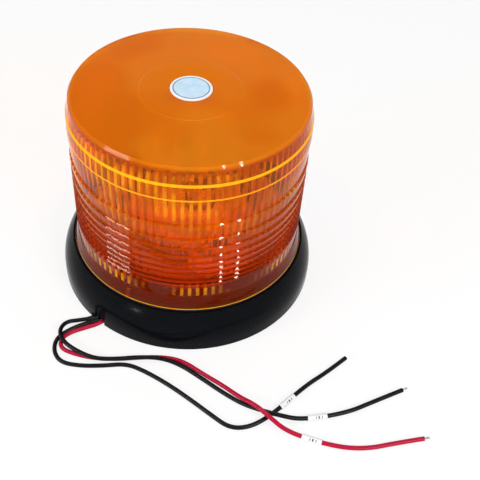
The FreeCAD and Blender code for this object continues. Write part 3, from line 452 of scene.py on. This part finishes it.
def press_flutes(dome, settings):
    """Presses the upright flutes into the dome's inner wall, every line of points in turn."""
    open_piece(dome)
    mesh = bmesh.from_edit_mesh(dome.data)
    per_flute = settings.steps // settings.flutes
    for phase in range(per_flute):
        depth = settings.flute_depth * abs(phase * 2 / per_flute - 1)
        for vert in mesh.verts:
            out = math.hypot(vert.co.x, vert.co.y)
            turn = round(math.atan2(vert.co.y, vert.co.x) / FULL_TURN * settings.steps)
            on_wall = (INNER_WALL[0] < out < INNER_WALL[1]
                       and FLUTE_HEIGHTS[0] < vert.co.z < FLUTE_HEIGHTS[1])
            vert.select_set(on_wall and turn % per_flute == phase)
        mesh.select_flush_mode()
        bmesh.update_edit_mesh(dome.data)
        factor = 1 + depth / INNER_RADIUS
        bpy.ops.transform.resize(value=(factor, factor, 1), center_override=(0, 0, 0))
    close_piece(dome, SMOOTH_ANGLE)


def lets_lamps_through(tree, shader, tint):
    """Lamps shine through a see-through surface, in its tint, so that what it holds is lit."""
    clear = add(tree, "BsdfTransparent")
    clear.inputs["Color"].default_value = (*tint, 1)
    mix_surface(tree, add(tree, "LightPath").outputs["Is Shadow Ray"], shader, clear)


def painted_glow_on_beads(tree, height, reach):
    """1 on the outside of the beads, where a bright glow is painted."""
    beads = 0
    for low, high, soft in BEADS:
        beads = calculate(tree, "MAXIMUM", beads, band(tree, height, low, high, soft))
    return calculate(tree, "MULTIPLY", beads, rises(tree, reach, at=0.0640, soft=0.0002))


def painted_shade_in_valleys(tree, height, reach):
    """1 deep between the Fresnel steps, where a darker painted shade goes."""
    deep = band(tree, reach, low=0.0636, high=0.06448, soft=0.0003)
    return calculate(tree, "MULTIPLY", deep, band(tree, height, low=0.0436, high=0.1025, soft=0.0004))


def painted_glow_on_flutes(tree, height, reach, around, flutes):
    """1 on one side of each flute, in patches of the upper wall and in a row at its foot, where bright
    light through the flutes is painted.
    """
    wave = calculate(tree, "SINE", calculate(tree, "MULTIPLY", around, flutes))
    bars = rises(tree, wave, at=0.2, soft=1.0)
    patches = between(tree, grain(tree, 34, detail=2), 0, 1, start=0.44, end=0.62)
    upper = calculate(tree, "SUBTRACT", rises(tree, height, at=0.082, soft=0.034),
                      rises(tree, height, at=0.117, soft=0.001))
    foot = band(tree, height, low=0.0350, high=0.0410, soft=0.0012)
    places = calculate(tree, "MAXIMUM", upper, foot)
    places = calculate(tree, "MULTIPLY", places, rises(tree, reach, at=0.0600, soft=0.0010))
    return calculate(tree, "MULTIPLY", calculate(tree, "MULTIPLY", bars, patches), places)


def amber(look):
    """Dyed see-through plastic: cloudy in the thick crown, clear in the wall, with a bright painted glow
    in its beads and on its flutes, and painted shade between its steps.
    """
    material, tree, shader = new_finish("amber_plastic")
    x, y, height = own_coordinates(tree)
    reach = reach_from_axis(tree, x, y)
    crown = rises(tree, height, at=0.1202, soft=0.0022)
    beads = painted_glow_on_beads(tree, height, reach)
    bars = painted_glow_on_flutes(tree, height, reach, calculate(tree, "ARCTAN2", y, x), look.flutes)

    pattern = between(tree, grain(tree, 60, detail=2), 0, 1)
    wall = blend_colours(tree, pattern, shaded(look.colour, (0.97, 0.90, 0.8)), look.colour)
    wall = blend_colours(tree, rises(tree, height, at=0.074, soft=0.060), look.foot, wall)
    # Painted shade: a darker colour deep between the Fresnel steps
    wall = blend_colours(tree, painted_shade_in_valleys(tree, height, reach), wall, look.valley_shade_colour)
    # Painted light: bright bars on the flutes
    wall = blend_colours(tree, bars, wall, look.bars)
    # Darker patches on the crown: partly flow marks in the plastic, partly painted reflection of dark
    # surroundings
    flow_marks_and_reflections = between(tree, grain(tree, 15, detail=1.5), 0, 1, start=0.47, end=0.55)
    plate = blend_colours(tree, flow_marks_and_reflections, look.crown, shaded(look.crown, (0.93, 0.78, 0.3)))
    colour = blend_colours(tree, crown, wall, plate)
    # Painted glow: the beads take a brighter colour
    tree.links.new(blend_colours(tree, beads, colour, look.bead_glow_colour), shader.inputs["Base Color"])

    # The flat of the crown is a little matt; its rim and the wall are glossy
    inside_rim = calculate(tree, "SUBTRACT", 1, rises(tree, reach, at=0.0612, soft=0.0006))
    flat = calculate(tree, "MULTIPLY", crown, inside_rim)
    gloss = between(tree, grain(tree, 900), 0.015, 0.04)
    gloss = calculate(tree, "ADD", gloss, calculate(tree, "MULTIPLY", flat, 0.17))
    tree.links.new(gloss, shader.inputs["Roughness"])

    clear = CLEAR
    for place, cloudy in ((crown, CROWN_CLOUD), (beads, BEAD_GLOW_CLOUD), (bars, FLUTE_GLOW_CLOUD)):
        clear = calculate(tree, "SUBTRACT", clear, calculate(tree, "MULTIPLY", place, cloudy))
    tree.links.new(clear, shader.inputs["Transmission Weight"])
    shader.inputs["IOR"].default_value = 1.20
    shader.inputs["Specular IOR Level"].default_value = 0.10
    shader.inputs["Specular Tint"].default_value = (1.0, 0.9, 0.75, 1)
    raise_surface(tree, shader, grain(tree, 140, detail=1), 0.00002)
    lets_lamps_through(tree, shader, tint=(1.0, 0.80, 0.40))
    return material


class BEACON_OT_dome(bpy.types.Operator):
    """Turns the amber dome with its Fresnel steps, and presses the flutes into its inner wall"""

    bl_idname = "beacon.dome"
    bl_label = "Dome"

    def execute(self, context):
        settings = context.scene.beacon_dome
        dome = turned("amber_dome", dome_outline(), settings.steps, SMOOTH_ANGLE)
        press_flutes(dome, settings)
        wear(dome, amber(settings))
        shown_as(dome, "root", "amber_lens", "lens_dome")
        return {"FINISHED"}


def disc_print():
    """Pale blue print, bare but for a thin dark ring, inside a white rim."""
    material, tree, shader = new_finish("crown_print")
    x, y, _ = own_coordinates(tree)
    out = reach_from_axis(tree, x, y)
    ring = rises(tree, out, at=0.009125, soft=0.00015)
    rim = rises(tree, out, at=0.009775, soft=0.00015)
    colour = blend_colours(tree, between(tree, grain(tree, 260), 0, 1), (0.46, 0.64, 0.80),
                           (0.60, 0.76, 0.89))
    colour = blend_colours(tree, ring, colour, (0.16, 0.22, 0.30))
    colour = blend_colours(tree, rim, colour, (0.80, 0.83, 0.84))
    tree.links.new(colour, shader.inputs["Base Color"])
    tree.links.new(between(tree, grain(tree, 1500), 0.28, 0.45), shader.inputs["Roughness"])
    raise_surface(tree, shader, grain(tree, 2500), 0.00001)
    return material


class BEACON_OT_label(bpy.types.Operator):
    """Turns the pale disc on the dome's crown"""

    bl_idname = "beacon.label"
    bl_label = "Disc"

    def execute(self, context):
        disc = turned("crown_disc", rounded([
            (0, 122.42), (10.9, 122.42, 0.1), (11.1, 122.6, 0.1), (11.1, 123.1, 0.18),
            (10.8, 123.3, 0.15), (10.2, 123.3, 0.1), (10.0, 123.22, 0.1), (5, 123.24), (0, 123.25)]), 128)
        wear(disc, disc_print())
        shown_as(disc, "root", "label_disc", "top_label")
        return {"FINISHED"}


# ---------------------------------------------------------------- base

class BEACON_OT_base(bpy.types.Operator):
    """Gives the black shell, its bottom cover, pad, seal and grommet their finishes"""

    bl_idname = "beacon.base"
    bl_label = "Base"

    def execute(self, context):
        settings = context.scene.beacon_base
        dress({
            "black_shell": finish("black_shell_plastic", settings.colour,
                                  shaded(settings.colour, (1.6, 1.6, 1.6)), (0.14, 0.22), 900,
                                  settings.grain, specular=0.05),
            "black_cover": finish("black_cover_plastic", (0.012, 0.012, 0.013), (0.02, 0.02, 0.022),
                                  (0.4, 0.55), 1200, 0.00003),
            "black_rubber": finish("seal_rubber", (0.012, 0.012, 0.012), (0.022, 0.021, 0.02),
                                   (0.6, 0.8), 1500, 0.00005),
        })
        return {"FINISHED"}


# ---------------------------------------------------------------- lamp and drive

def bulb_glass():
    """Clear glass."""
    material, tree, shader = new_finish("lamp_glass")
    tree.links.new(blend_colours(tree, between(tree, grain(tree, 200), 0, 1), (0.96, 0.96, 0.95),
                                 (0.90, 0.91, 0.92)), shader.inputs["Base Color"])
    tree.links.new(between(tree, grain(tree, 300), 0.02, 0.05), shader.inputs["Roughness"])
    shader.inputs["Transmission Weight"].default_value = 1.0
    shader.inputs["IOR"].default_value = 1.47
    return material


class BEACON_OT_drive(bpy.types.Operator):
    """Gives the lamp, mirror, gears, motor, circuit board and fasteners their finishes"""

    bl_idname = "beacon.drive"
    bl_label = "Lamp and drive"

    def execute(self, context):
        dress({
            "plate_steel": metal("zinc_plate", (0.74, 0.75, 0.76), (0.82, 0.82, 0.80), (0.52, 0.62),
                                 220, 0.00002),
            "zinc_steel": metal("zinc_screws", (0.58, 0.57, 0.52), (0.68, 0.66, 0.60), (0.25, 0.4),
                                900),
            "spring_steel": metal("blued_spring_steel", (0.16, 0.16, 0.17), (0.24, 0.23, 0.22),
                                  (0.3, 0.42), 900),
            "mirror_metal": metal("bright_reflector", (0.86, 0.86, 0.84), (0.92, 0.92, 0.90),
                                  (0.30, 0.38), 160, 0.000015, stretch=(1, 1, 0.15)),
            "rivet_aluminium": metal("rivet_metal", (0.62, 0.62, 0.62), (0.72, 0.72, 0.72),
                                     (0.3, 0.45), 900),
            "brass_insert": metal("turned_brass", (0.62, 0.40, 0.13), (0.72, 0.50, 0.2),
                                  (0.28, 0.4), 700),
            "cap_brass": metal("lamp_cap_brass", (0.66, 0.46, 0.18), (0.76, 0.56, 0.26),
                               (0.2, 0.34), 500),
            "bronze_bush": metal("sintered_bronze", (0.34, 0.19, 0.09), (0.46, 0.28, 0.14),
                                 (0.42, 0.6), 1800, 0.00003),
            "gear_plastic": finish("gear_acetal", (0.74, 0.72, 0.66), (0.82, 0.80, 0.74),
                                   (0.35, 0.5), 300),
            "insulator": finish("brown_insulator", (0.10, 0.035, 0.015), (0.16, 0.06, 0.03),
                                (0.35, 0.5), 600, 0.00002),
            "board_green": finish("green_board", (0.015, 0.13, 0.05), (0.03, 0.19, 0.08),
                                  (0.3, 0.45), 700, coat=0.3),
            "sleeve_dark": finish("dark_sleeve", (0.012, 0.014, 0.03), (0.02, 0.024, 0.05),
                                  (0.3, 0.45), 700),
            "black_insulation": insulation("inner_wire_vinyl", (0.010, 0.010, 0.011),
                                           (0.018, 0.018, 0.020), (0.3, 0.45)),
            "bulb_glass": bulb_glass(),
        })
        return {"FINISHED"}


# ---------------------------------------------------------------- leads

# Each free lead: its name, the CAD lead, its route and slot, how far its sleeve stands from the CAD
# one along it, the CAD sleeve, and the CAD bare end if it has one
LEADS = (
    ("black_long_lead", "black_lead_long", BLACK_LONG_ROUTE, "black_insulation", -0.0021,
     "black_long_marker", "black_long_bare_end"),
    ("black_short_lead", "black_lead_short", BLACK_SHORT_ROUTE, "black_insulation", -0.0021,
     "black_short_marker", None),
    ("red_vinyl_lead", "red_lead", RED_ROUTE, "red_insulation", 0.0008, "red_marker",
     "red_bare_end"),
)

# Marker sleeves: each ring's share of the length, and its radius
SLEEVE_LENGTH, SLEEVE_SIDES = 0.0105, 24
SLEEVE_OUTLINE = (
    (0.0, 0.00150), (0.02, 0.00163), (0.06, 0.00165), (0.40, 0.00163), (0.44, 0.00163),
    (0.52, 0.00165), (0.60, 0.00165), (0.70, 0.00164), (0.74, 0.00164), (0.94, 0.00165),
    (0.98, 0.00163), (1.0, 0.00150), (1.0, 0.00122), (0.5, 0.00122), (0.0, 0.00122), (0.0, 0.00150))
PRINTED_RINGS = (3, 5, 7)       # a bar runs from each of these rings to the next
FIRST_PRINTED_SIDE = 20         # and from this side to the last

# Bare strands: their thickness, how far they lie from the middle, how far they start inside the
# insulation, their length, and the turns of their twist
STRAND_RADIUS, STRAND_LAY = 0.00016, 0.00034
STRAND_START, STRAND_LENGTH, STRAND_TWIST = 0.0006, 0.0036, 0.6
STRAND_SPREAD = 0.25            # they spread by this share towards the cut end
STRAND_POINTS = 9


def lead_curve(name, route, radius):
    """A smooth curve with the route's points as its control points, and the lead's radius at each."""
    data = bpy.data.curves.new(name, "CURVE")
    data.dimensions = "3D"
    spline = data.splines.new("NURBS")
    spline.points.add(len(route) - 1)
    for point, place in zip(spline.points, route):
        point.co = (*place, 1)
        point.radius = radius
    spline.order_u = 3
    spline.use_endpoint_u = True
    spline.resolution_u = 12
    data.use_fill_caps = True
    obj = bpy.data.objects.new(name, data)
    bpy.context.scene.collection.objects.link(obj)
    return obj


def centreline(lead):
    """Points along a lead's own line, and the length up to each of them."""
    bevel, lead.data.bevel_depth = lead.data.bevel_depth, 0
    bpy.context.view_layer.update()
    mesh = bpy.data.meshes.new_from_object(lead.evaluated_get(bpy.context.evaluated_depsgraph_get()))
    lead.data.bevel_depth = bevel
    points = [vert.co.copy() for vert in mesh.vertices]
    bpy.data.meshes.remove(mesh)
    gone = [0.0]
    for a, b in zip(points, points[1:]):
        gone.append(gone[-1] + (b - a).length)
    return points, gone


def place_along(points, gone, length):
    """The point and direction at a length along a centreline."""
    for i in range(len(points) - 1):
        if gone[i + 1] >= length:
            share = (length - gone[i]) / max(gone[i + 1] - gone[i], 1e-9)
            return points[i].lerp(points[i + 1], share), (points[i + 1] - points[i]).normalized()
    direction = (points[-1] - points[-2]).normalized()
    return points[-1] + direction * (length - gone[-1]), direction


def sleeve_along(name, lead, start):
    """A marker sleeve on a lead: rings of points that follow its line."""
    points, gone = centreline(lead)
    deselect()
    bpy.ops.mesh.primitive_circle_add(vertices=SLEEVE_SIDES, radius=SLEEVE_OUTLINE[0][1],
                                      location=(0, 0, 0))
    obj = bpy.context.object
    obj.name = obj.data.name = name
    bpy.ops.object.mode_set(mode="EDIT")
    bpy.ops.mesh.select_all(action="SELECT")
    for (_, radius), (_, next_radius) in zip(SLEEVE_OUTLINE, SLEEVE_OUTLINE[1:]):
        bpy.ops.mesh.extrude_region_move(TRANSFORM_OT_translate={"value": (0, 0, 0)})
        factor = next_radius / radius
        bpy.ops.transform.resize(value=(factor, factor, 1), center_override=(0, 0, 0))
    bpy.ops.object.mode_set(mode="OBJECT")
    for ring, (share, _) in enumerate(SLEEVE_OUTLINE):
        middle, along = place_along(points, gone, start + share * SLEEVE_LENGTH)
        across = along.cross(UP).normalized()
        top = across.cross(along).normalized()
        for side in range(SLEEVE_SIDES):
            vert = obj.data.vertices[ring * SLEEVE_SIDES + side]
            flat = vert.co.copy()
            vert.co = middle + across * flat.x + top * flat.y
    open_piece(obj)
    bpy.ops.mesh.select_all(action="SELECT")
    bpy.ops.mesh.normals_make_consistent(inside=False)
    return close_piece(obj, 50)


def print_bars(sleeve):
    """Marks three plain printed bars on a sleeve, beside its top."""
    ink = sleeve.data.attributes.new("ink", "FLOAT", "FACE")
    for face in sleeve.data.polygons:
        ring = min(face.vertices) // SLEEVE_SIDES
        first_side = min(vert % SLEEVE_SIDES for vert in face.vertices)
        ink.data[face.index].value = float(ring in PRINTED_RINGS and first_side >= FIRST_PRINTED_SIDE)


def bare_strands(name, lead, count):
    """Short tinned strands twisted together at a lead's end."""
    points, gone = centreline(lead)
    made = []
    for number in range(count):
        data = bpy.data.curves.new(name, "CURVE")
        data.dimensions = "3D"
        data.bevel_depth = STRAND_RADIUS
        data.bevel_resolution = 2
        data.use_fill_caps = True
        spline = data.splines.new("NURBS")
        spline.points.add(STRAND_POINTS - 1)
        for i, point in enumerate(spline.points):
            share = i / (STRAND_POINTS - 1)
            length = gone[-1] - STRAND_START + share * STRAND_LENGTH
            middle, along = place_along(points, gone, length)
            across = along.cross(UP).normalized()
            top = across.cross(along)
            angle = FULL_TURN * (number / max(count - 1, 1) + share * STRAND_TWIST)
            out = 0 if number == 0 else STRAND_LAY * (1 + STRAND_SPREAD * share * share)
            point.co = (*(middle + across * math.cos(angle) * out + top * math.sin(angle) * out), 1)
        spline.order_u = 3
        spline.use_endpoint_u = True
        obj = bpy.data.objects.new(name, data)
        bpy.context.scene.collection.objects.link(obj)
        made.append(obj)
    deselect()
    for obj in made:
        obj.select_set(True)
    bpy.context.view_layer.objects.active = made[0]
    bpy.ops.object.convert(target="MESH")
    bpy.ops.object.join()
    strands = bpy.context.object
    strands.name = strands.data.name = name
    return strands


def insulation(name, colour, other, rough):
    """Soft vinyl over a wire."""
    return finish(name, colour, other, rough, 500, 0.000012, specular=0.15)


def marker_finish():
    """White heat-shrink sleeve with plain printed bars."""
    material, tree, shader = new_finish("white_sleeve")
    pattern = grain(tree, 900)
    white = blend_colours(tree, between(tree, pattern, 0, 1), (0.80, 0.81, 0.83), (0.70, 0.73, 0.77))
    ink = add(tree, "Attribute", attribute_name="ink").outputs["Fac"]
    tree.links.new(blend_colours(tree, ink, white, (0.05, 0.055, 0.065)), shader.inputs["Base Color"])
    tree.links.new(between(tree, grain(tree, 280), 0.3, 0.45), shader.inputs["Roughness"])
    raise_surface(tree, shader, pattern, 0.00002)
    return material


class BEACON_OT_leads(bpy.types.Operator):
    """Lays the two black leads and the red one, with their sleeves and bare strands"""

    bl_idname = "beacon.leads"
    bl_label = "Leads"

    def execute(self, context):
        settings = context.scene.beacon_leads
        vinyl = {
            "black_insulation": insulation("black_vinyl", settings.black, (0.006, 0.006, 0.008),
                                           (0.25, 0.38)),
            "red_insulation": insulation("red_vinyl", settings.red, (0.38, 0.004, 0.030),
                                         (0.25, 0.38)),
        }
        white = marker_finish()
        tinned = metal("tinned_copper", (0.40, 0.39, 0.38), (0.62, 0.58, 0.52), (0.25, 0.4), 3000,
                       0.000005)
        for name, node, route, slot, shift, marker_node, end_node in LEADS:
            lead = lead_curve(name, route, settings.diameter / 2)
            points, gone = centreline(lead)
            lead.data.bevel_depth = 1.0
            lead.data.bevel_resolution = 6
            lead.data.materials.append(vinyl[slot])
            shown_as(lead, "root", slot, node)
            low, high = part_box(marker_node)
            middle = (Vector(low) + Vector(high)) / 2
            nearest = min(range(len(points)), key=lambda i: (points[i].xy - middle.xy).length)
            marker = sleeve_along(name + "_sleeve", lead, gone[nearest] + shift - SLEEVE_LENGTH / 2)
            print_bars(marker)
            wear(marker, white)
            shown_as(marker, "root", "marker_white", marker_node)
            if end_node:
                strands = bare_strands(name + "_strands", lead, settings.strands)
                wear(strands, tinned)
                shown_as(strands, "root", "tinned_strand", end_node)
        return {"FINISHED"}


# ---------------------------------------------------------------- stage

def soft_lamp(name, place, aim, size, power, roll=0.0):
    """A soft lamp that points at a place, rolled about its beam; power is in watts."""
    data = bpy.data.lights.new(name, "AREA")
    data.shape = "RECTANGLE"
    data.size, data.size_y = size
    data.energy = power
    lamp = bpy.data.objects.new(name, data)
    bpy.context.scene.collection.objects.link(lamp)
    lamp.location = place
    beam = (Vector(aim) - Vector(place)).to_track_quat("-Z", "Y")
    lamp.rotation_euler = (beam @ Quaternion(UP, roll)).to_euler()


def pale_finish(name, colour, share):
    """A pale matt surface that looks white to the eye, in gloss and through glass.

    Share is how much of that look is an even white; the rest keeps the shadows.
    """
    material, tree, shader = new_finish(name)
    shader.inputs["Base Color"].default_value = (*colour, 1)
    shader.inputs["Roughness"].default_value = 0.9
    glow = add(tree, "Emission")
    glow.inputs["Color"].default_value = (1, 1, 1, 1)
    glow.inputs["Strength"].default_value = 1.0
    rays = add(tree, "LightPath").outputs
    seen = calculate(tree, "MAXIMUM", rays["Is Camera Ray"], rays["Is Glossy Ray"])
    seen = calculate(tree, "MAXIMUM", seen, rays["Is Transmission Ray"])
    mix_surface(tree, calculate(tree, "MULTIPLY", seen, share), shader, glow)
    return material


def light_the_room(scene):
    """A soft even world, one large lamp overhead and small ones whose glints run down the dome."""
    world = bpy.data.worlds.new("soft_room")
    scene.world = world
    world.use_nodes = True
    background = world.node_tree.nodes["Background"]
    background.inputs["Color"].default_value = (1, 1, 1, 1)
    background.inputs["Strength"].default_value = 0.28
    wall = (0, 0, 0.08)
    soft_lamp("overhead_softbox", (0, 0.1, 1.3), (0, 0, 0.06), size=(0.8, 0.8), power=5.5)
    soft_lamp("left_strip", (-0.845, -0.412, 0.49), wall, size=(0.40, 0.11), power=4.8,
              roll=math.radians(20))
    soft_lamp("right_lamp", (0.43, -0.76, 0.64), wall, size=(0.042, 0.16), power=2.8)
    soft_lamp("far_right_lamp", (0.63, -0.64, 0.60), wall, size=(0.042, 0.16), power=2.8)
    soft_lamp("front_left_lamp", (-0.69, -0.80, 0.19), (0, 0, 0.03), size=(0.09, 0.03), power=0.6)


def place_camera(scene, view):
    """The camera stands in front of the dome, turned, tilted and rolled as its settings say."""
    camera = bpy.data.objects.new("camera", bpy.data.cameras.new("camera"))
    scene.collection.objects.link(camera)
    camera.data.sensor_width = 36
    camera.data.lens = view.focal_length
    forward = Vector((math.sin(view.turn) * math.cos(view.tilt),
                      math.cos(view.turn) * math.cos(view.tilt), -math.sin(view.tilt)))
    right = Vector((math.cos(view.turn), -math.sin(view.turn), 0))
    up = right.cross(forward)
    leaning = right * math.cos(view.roll) + up * math.sin(view.roll)
    upright = up * math.cos(view.roll) - right * math.sin(view.roll)
    place = Vector((0, -view.distance * math.cos(view.elevation),
                    view.aim_height + view.distance * math.sin(view.elevation)))
    camera.matrix_world = Matrix.Translation(place) @ Matrix(
        (leaning, upright, -forward)).transposed().to_4x4()
    camera.data.clip_start, camera.data.clip_end = 0.01, 20
    scene.camera = camera


class BEACON_OT_stage(bpy.types.Operator):
    """Sets up the pale floor and backdrop, the soft lamps and the camera"""

    bl_idname = "beacon.stage"
    bl_label = "Stage"

    def execute(self, context):
        scene = context.scene
        room = turned("floor_and_backdrop", rounded([
            (0, 0), (1700, 0, 300), (1700, 900), (1700, 1150)], 8), 64)
        wear(room, pale_finish("pale_room", (0.88, 0.88, 0.88), share=0.80))
        light_the_room(scene)
        place_camera(scene, scene.beacon_camera)
        scene.view_settings.view_transform = "Standard"
        return {"FINISHED"}


# ---------------------------------------------------------------- add-on

STEPS = (BEACON_OT_stage, BEACON_OT_leads, BEACON_OT_dome, BEACON_OT_label, BEACON_OT_base,
         BEACON_OT_drive)


class BEACON_PT_panel(bpy.types.Panel):
    """The beacon's sizes, colours and building steps"""

    bl_idname = "BEACON_PT_panel"
    bl_label = "Rotating beacon"
    bl_space_type = "VIEW_3D"
    bl_region_type = "UI"
    bl_category = "Beacon"

    def draw(self, context):
        scene, layout = context.scene, self.layout
        for group in (scene.beacon_camera, scene.beacon_dome, scene.beacon_base, scene.beacon_leads):
            box = layout.box()
            for key in group.bl_rna.properties.keys():
                if key not in ("rna_type", "name"):
                    box.prop(group, key)
        for step in STEPS:
            layout.operator(step.bl_idname)


GROUPS = {"beacon_camera": BeaconCamera, "beacon_dome": BeaconDome, "beacon_base": BeaconBase,
          "beacon_leads": BeaconLeads}


def register():
    """Makes the settings, steps and panel known to Blender."""
    for name, group in GROUPS.items():
        bpy.utils.register_class(group)
        setattr(bpy.types.Scene, name, PointerProperty(type=group))
    for step in (*STEPS, BEACON_PT_panel):
        bpy.utils.register_class(step)


def unregister():
    """Takes them out again."""
    for step in (BEACON_PT_panel, *reversed(STEPS)):
        bpy.utils.unregister_class(step)
    for name, group in GROUPS.items():
        delattr(bpy.types.Scene, name)
        bpy.utils.unregister_class(group)


def main():
    """Builds every piece in order."""
    register()
    for step in STEPS:
        group, name = step.bl_idname.split(".")
        getattr(getattr(bpy.ops, group), name)()


if __name__ == "__main__":
    main()
